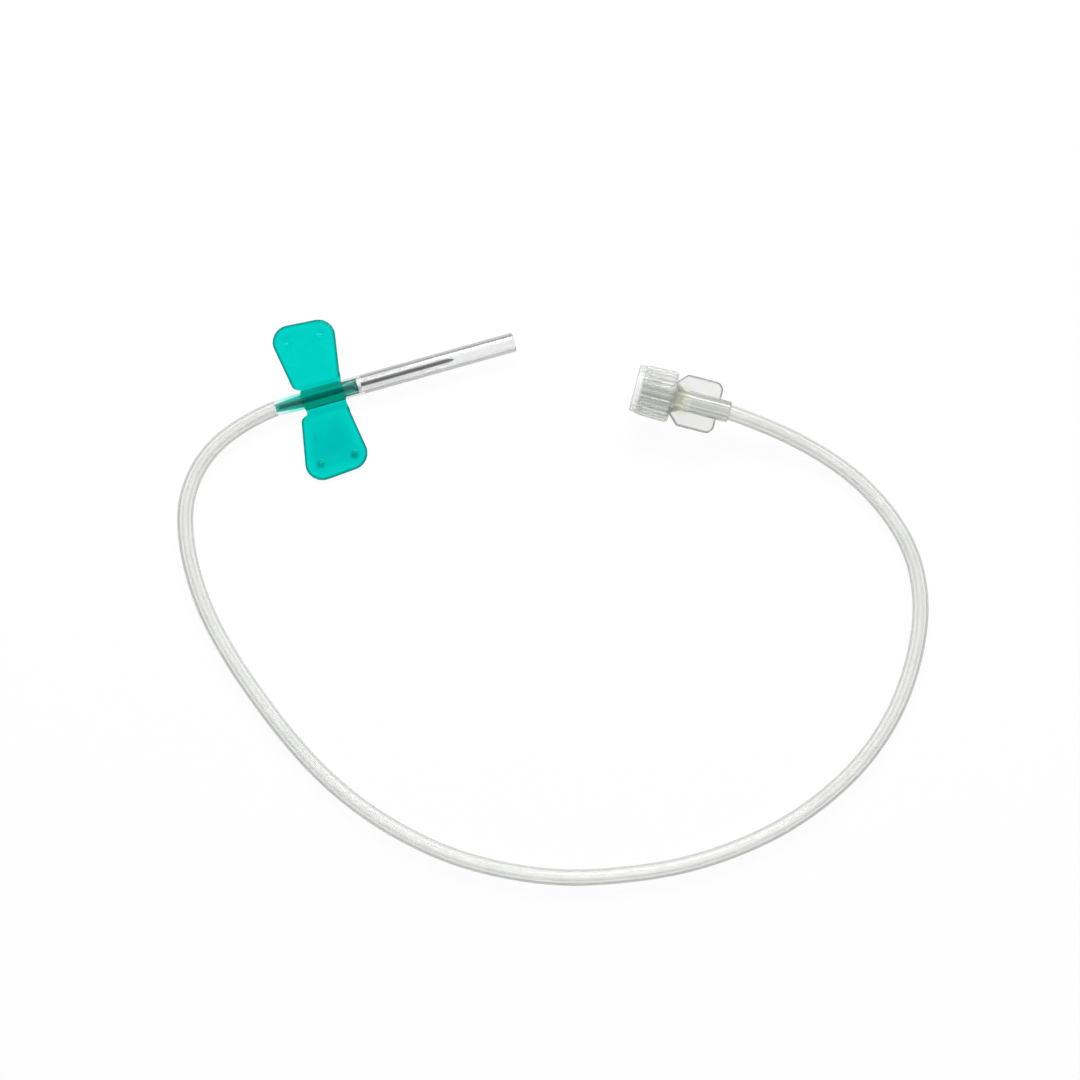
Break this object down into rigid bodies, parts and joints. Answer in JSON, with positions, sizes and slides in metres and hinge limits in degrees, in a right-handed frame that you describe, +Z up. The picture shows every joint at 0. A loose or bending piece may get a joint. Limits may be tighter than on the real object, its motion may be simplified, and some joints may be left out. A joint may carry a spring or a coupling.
{
  "type": "butterfly needle",
  "caption": "Winged needle set: steel needle with clear sheath in a soft teal hub with folding wings, clear tubing and a capped female lock connector.",
  "frame": {"origin": "under the middle of the hub, on the flat underside of the wings", "axes": "+X along the needle towards its point, +Y across the wings, +Z up from the wings' underside"},
  "size_m": [0.1347, 0.1212, 0.0099],
  "materials": {
    "wing_moulding": "translucent teal soft PVC, glossy",
    "needle": "ground and polished stainless steel",
    "bond_bead": "clear cured adhesive, glossy",
    "needle_sheath": "clear extruded polyethylene, glossy",
    "tubing": "clear soft PVC tubing, satin gloss",
    "lock_connector": "clear moulded rigid plastic, glossy, faintly warm",
    "lock_cap": "clear moulded plastic with grip ribs"
  },
  "bodies": {
    "wing_set": {"wing_moulding": "wing_moulding", "needle": "needle", "bond_bead": "bond_bead", "tubing": "tubing", "lock_connector": "lock_connector"},
    "sheath": {"needle_sheath": "needle_sheath"},
    "cap": {"lock_cap": "lock_cap"}
  },
  "joints": [
    {"name": "sheath_slide", "type": "slide", "parent": "wing_set", "child": "sheath", "axis": [1, 0, 0], "range_m": [0, 0.032]},
    {"name": "cap_slide", "type": "slide", "parent": "wing_set", "child": "cap", "axis": [-0.8572, 0.515, 0], "range_m": [0, 0.012]}
  ]
}
